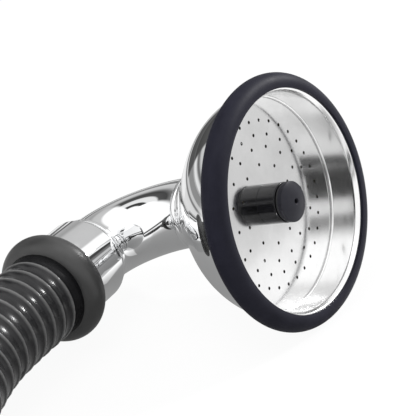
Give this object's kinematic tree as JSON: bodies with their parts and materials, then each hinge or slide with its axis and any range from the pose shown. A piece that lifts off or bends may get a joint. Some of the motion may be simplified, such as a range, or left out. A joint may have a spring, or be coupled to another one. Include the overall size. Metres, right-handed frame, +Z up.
{
  "type": "handheld bath sprayer",
  "caption": "Handheld bath sprayer: bell-shaped chromed head with a rubber bumper, a perforated steel face with a central jet, a swivelling bent tube and a ribbed supply hose.",
  "frame": {"origin": "ground point under the middle of the sprayer without its hose", "axes": "+Z up, the spray face looks to -Y and a little up, the hose leaves to -X"},
  "size_m": [0.4813, 0.3942, 0.0781],
  "materials": {
    "bumper_rubber": "satin charcoal moulded rubber",
    "ring_rubber": "satin dark grey moulded rubber",
    "hose_rubber": "glossy ribbed dark grey hose",
    "seal_rubber": "black sealing rubber",
    "chrome_plate": "bright chrome plating",
    "cup_steel": "satin stainless steel sheet",
    "plate_steel": "polished stainless steel sheet",
    "core_brass": "turned brass",
    "post_plastic": "glossy black plastic",
    "cap_plastic": "satin charcoal plastic"
  },
  "bodies": {
    "hose": {"hose_tail": "core_brass", "hose_cuff": "hose_rubber", "hose_ring": "ring_rubber", "hose_run": "hose_rubber", "hose_coil": "hose_rubber", "supply_sleeve": "chrome_plate", "supply_tail": "core_brass"},
    "elbow": {"elbow_tube": "chrome_plate", "neck_collar": "chrome_plate", "neck_seals": "seal_rubber", "neck_clip": "cup_steel", "coupling_nut": "chrome_plate", "coupling_washer": "seal_rubber"},
    "head": {"rim_bumper": "bumper_rubber", "head_shell": "chrome_plate", "cup_ring": "cup_steel", "spray_plate": "plate_steel", "cup_gasket": "seal_rubber", "jet_core": "core_brass", "jet_post": "post_plastic"},
    "jet_cap": {"jet_cap": "cap_plastic", "cap_seal": "seal_rubber"},
    "supply_nut": {"supply_nut": "chrome_plate", "supply_washer": "seal_rubber"}
  },
  "joints": [
    {"name": "hose_swivel", "type": "hinge", "parent": "hose", "child": "elbow", "pos_m": [-0.01773, 0.02995, 0.018], "axis": [-0.9891, -0.147, 0], "continuous": true},
    {"name": "head_swivel", "type": "hinge", "parent": "elbow", "child": "head", "pos_m": [0.00958, -0.02793, 0.03904], "axis": [0, -0.9468, 0.3217], "continuous": true},
    {"name": "jet_twist", "type": "hinge", "parent": "head", "child": "jet_cap", "pos_m": [0.00958, -0.02793, 0.03904], "axis": [0, -0.9468, 0.3217], "range_deg": [0, 90]},
    {"name": "supply_nut_turn", "type": "hinge", "parent": "hose", "child": "supply_nut", "pos_m": [-0.32334, -0.25259, 0.014], "axis": [0.7388, -0.674, 0], "continuous": true}
  ]
}
